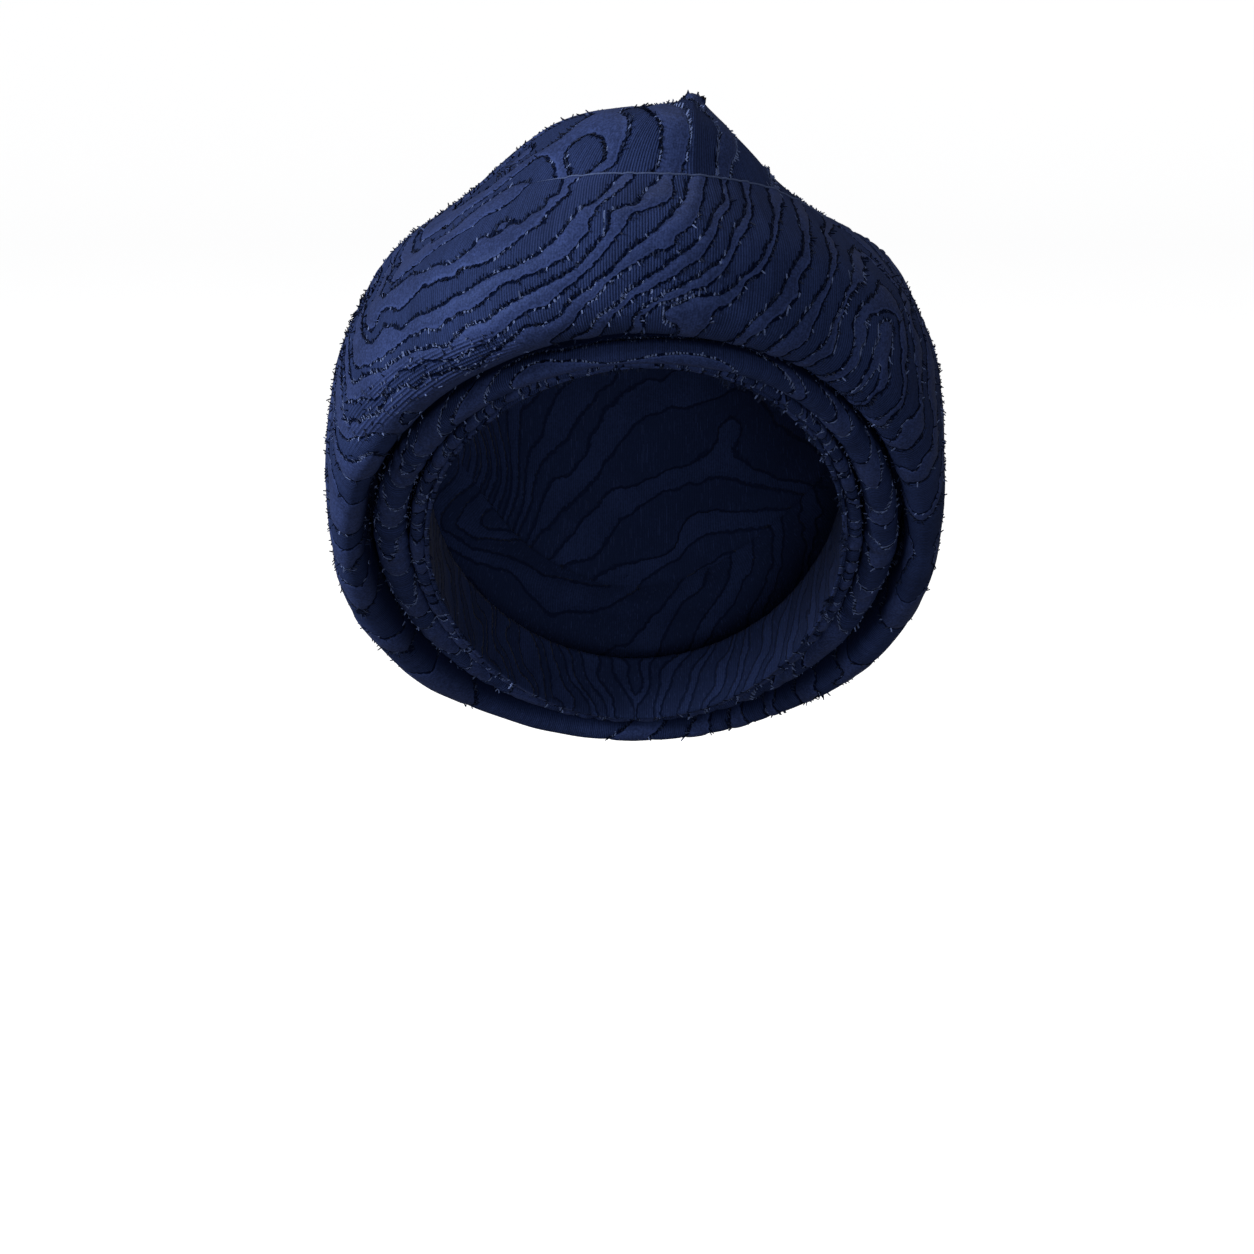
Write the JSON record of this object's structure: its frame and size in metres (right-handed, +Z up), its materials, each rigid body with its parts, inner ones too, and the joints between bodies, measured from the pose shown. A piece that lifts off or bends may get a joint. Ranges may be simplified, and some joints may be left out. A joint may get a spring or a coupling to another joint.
{
  "type": "wrap headband",
  "caption": "Full head wrap of clipped jacquard cloth: closed crown with a peak, a big outer wrap with a turned-under hem, and nested folds round the face opening.",
  "frame": {"origin": "middle of the head opening, on the middle plane, where the wrap grips the head", "axes": "+Z up, -Y the way the face looks, +X towards the wearer's left"},
  "size_m": [0.2263, 0.2295, 0.2652],
  "materials": {
    "wrap_cloth": "navy clipped jacquard, satin stripes raised on a ribbed matt ground, with clipped thread ends",
    "fold_cloth": "the same navy clipped jacquard, folded and crinkled"
  },
  "bodies": {
    "root": {"edge_strip": "fold_cloth", "inner_fold": "fold_cloth", "middle_fold": "fold_cloth", "outer_wrap": "wrap_cloth", "crown": "wrap_cloth"}
  },
  "joints": []
}
